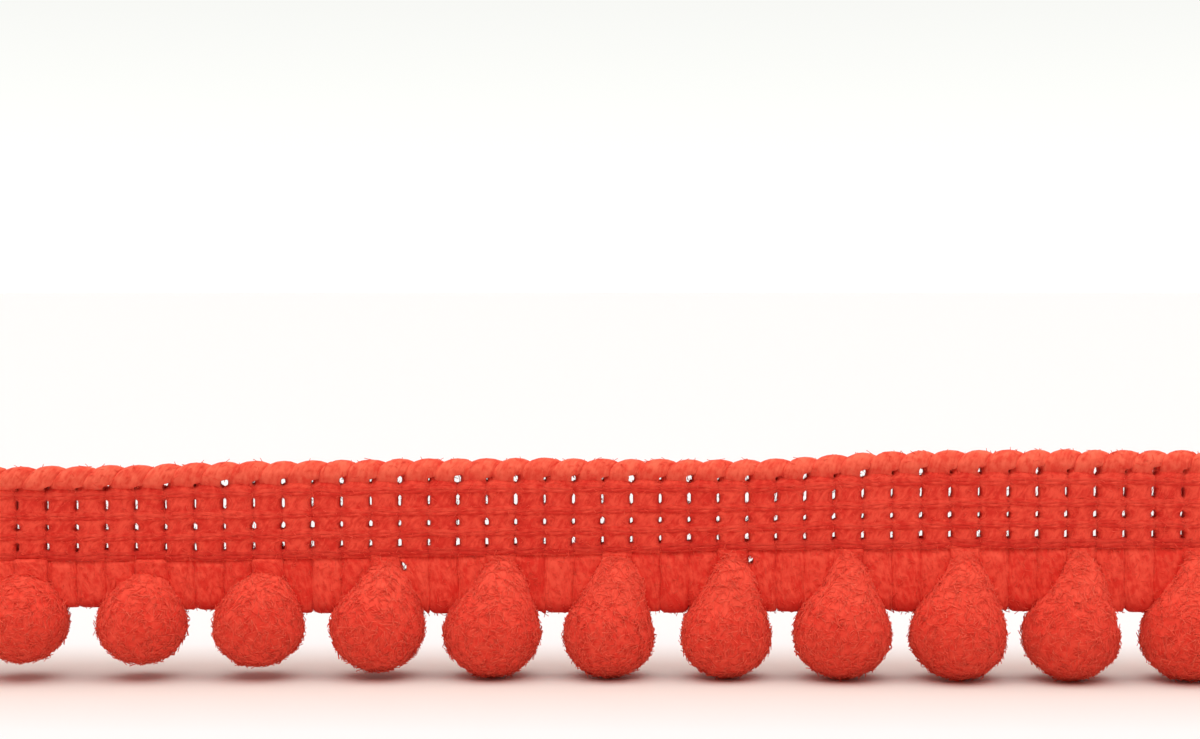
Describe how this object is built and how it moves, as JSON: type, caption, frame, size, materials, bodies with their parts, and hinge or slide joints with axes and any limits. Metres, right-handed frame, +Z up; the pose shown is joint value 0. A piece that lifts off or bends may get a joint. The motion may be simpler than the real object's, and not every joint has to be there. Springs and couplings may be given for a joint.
{
  "type": "pompom fringe trim",
  "caption": "Cut length of mini pompom trim: crocheted braid heading, fringe of yarn loops and a row of felted pompoms, standing upright on the pompoms.",
  "frame": {"origin": "middle of the trim's footprint, on the surface that the pompoms stand on", "axes": "+X along the trim, -Y is the face with the pompoms forward, +Z up from the pompoms to the scalloped edge"},
  "size_m": [0.0852, 0.0064, 0.0129],
  "materials": {
    "braid_yarn": "matte twisted acrylic yarn, crocheted",
    "loop_yarn": "matte bulky yarn with short fuzz",
    "pompom_felt": "matte brushed felt with short pile"
  },
  "bodies": {
    "root": {"heading_braid": "braid_yarn", "loop_fringe": "loop_yarn", "pompom_01": "pompom_felt", "pompom_02": "pompom_felt", "pompom_03": "pompom_felt", "pompom_04": "pompom_felt", "pompom_05": "pompom_felt", "pompom_06": "pompom_felt", "pompom_07": "pompom_felt", "pompom_08": "pompom_felt", "pompom_09": "pompom_felt", "pompom_10": "pompom_felt", "pompom_11": "pompom_felt", "pompom_12": "pompom_felt", "pompom_13": "pompom_felt"}
  },
  "joints": []
}
